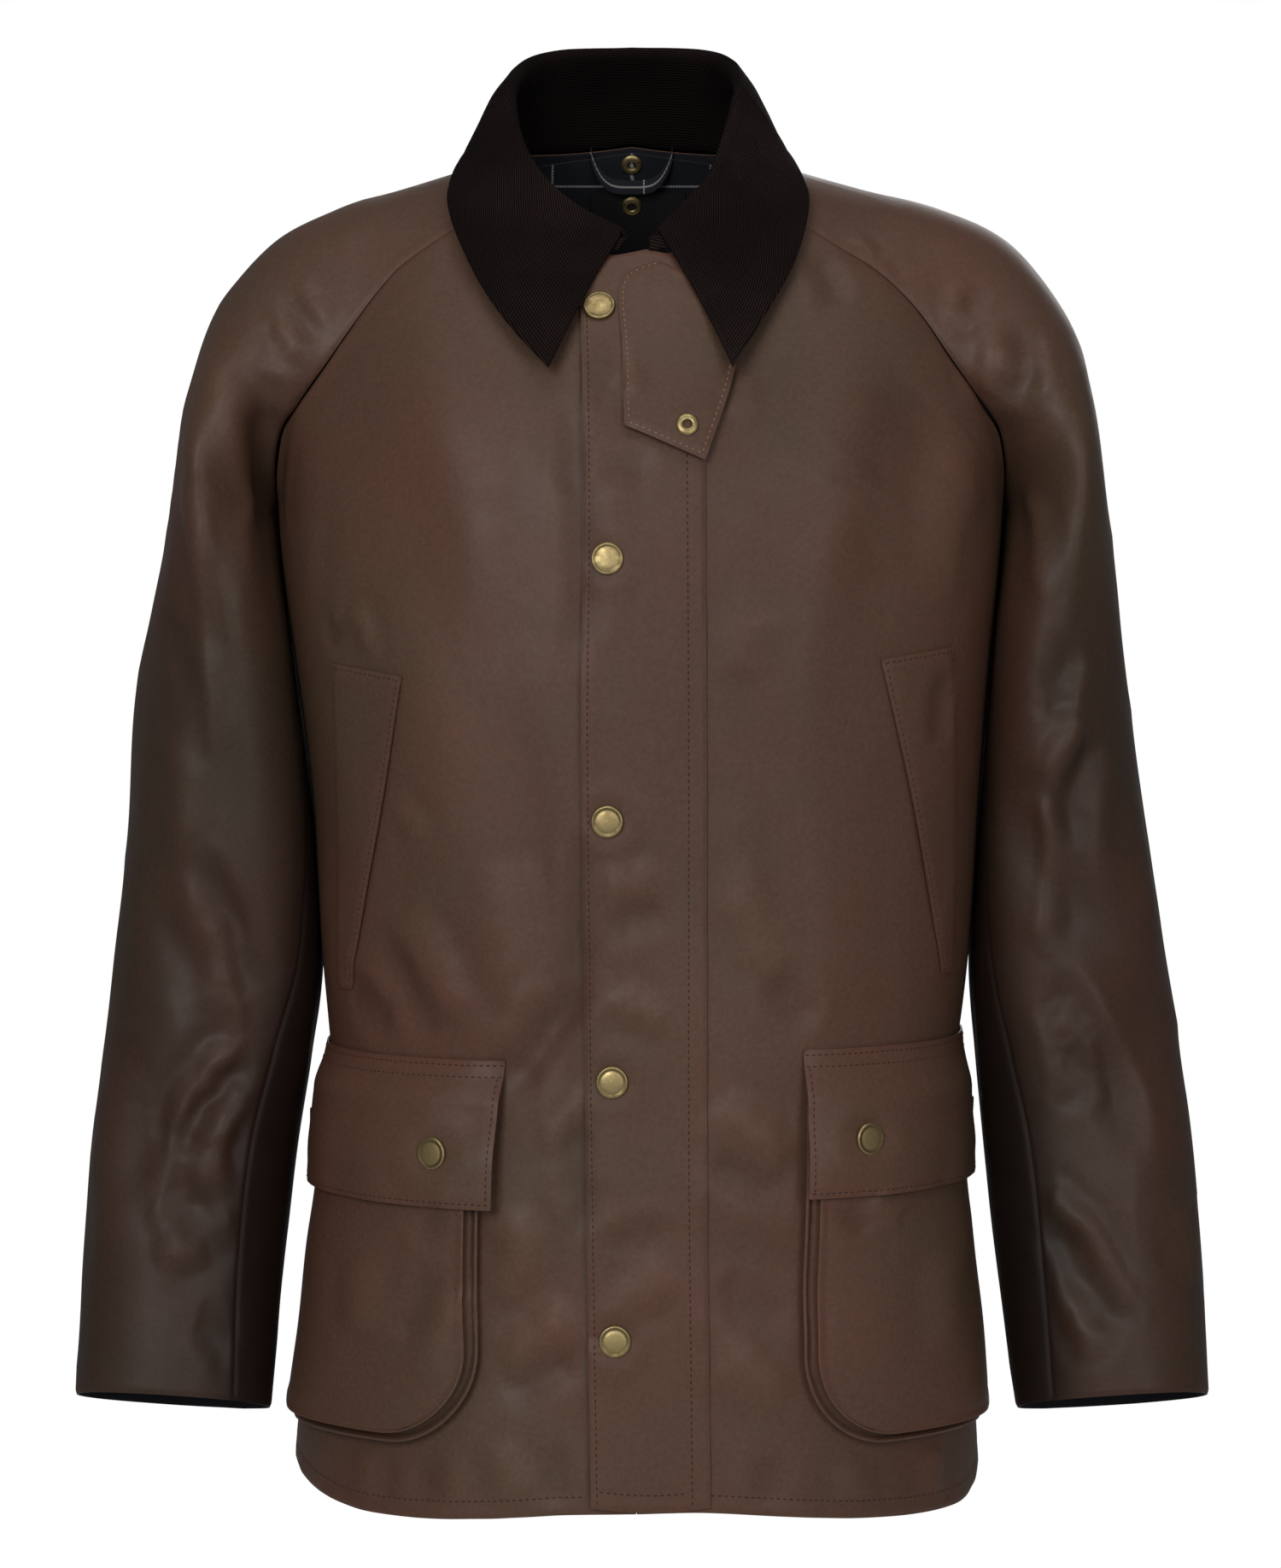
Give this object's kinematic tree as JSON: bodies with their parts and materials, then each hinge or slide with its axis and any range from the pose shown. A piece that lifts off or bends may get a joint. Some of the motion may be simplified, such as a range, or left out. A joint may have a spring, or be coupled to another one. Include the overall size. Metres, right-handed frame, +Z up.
{
  "type": "waxed cotton jacket filled out as worn, held up at the shoulders",
  "caption": "Brown waxed cotton jacket with raglan sleeves, a dark corduroy collar, a snapped storm fly, a throat tab, slanted hand-warmer pockets and flapped bellows pockets.",
  "frame": {"origin": "between the wearer's shoulders at the base of the neck, where a wearer holds the jacket up", "axes": "+Z up, -Y towards the front of the jacket, +X towards the wearer's left"},
  "size_m": [0.626, 0.2994, 0.8053],
  "materials": {
    "waxed_cotton": "waxed",
    "corduroy": "ribbed pile",
    "lining": "woven check",
    "label": "plain weave",
    "brass": "antiqued"
  },
  "bodies": {
    "root": {"back": "waxed_cotton", "front_right": "waxed_cotton", "front_left": "waxed_cotton", "sleeve_right": "waxed_cotton", "sleeve_left": "waxed_cotton", "under_sleeve_right": "waxed_cotton", "under_sleeve_left": "waxed_cotton", "storm_fly": "waxed_cotton", "throat_tab": "waxed_cotton", "pocket_right": "waxed_cotton", "pocket_left": "waxed_cotton", "pocket_flap_right": "waxed_cotton", "pocket_flap_left": "waxed_cotton", "welt_right": "waxed_cotton", "welt_left": "waxed_cotton", "collar": "corduroy", "lining_back": "lining", "hanger_loop": "lining", "label": "label", "label_ring": "brass", "neck_ring": "brass", "tab_ring": "brass", "fly_snap_1": "brass", "fly_snap_2": "brass", "fly_snap_3": "brass", "fly_snap_4": "brass", "fly_snap_5": "brass", "pocket_snap_right_1": "brass", "pocket_snap_right_2": "brass", "pocket_snap_left_1": "brass", "pocket_snap_left_2": "brass"}
  },
  "joints": []
}
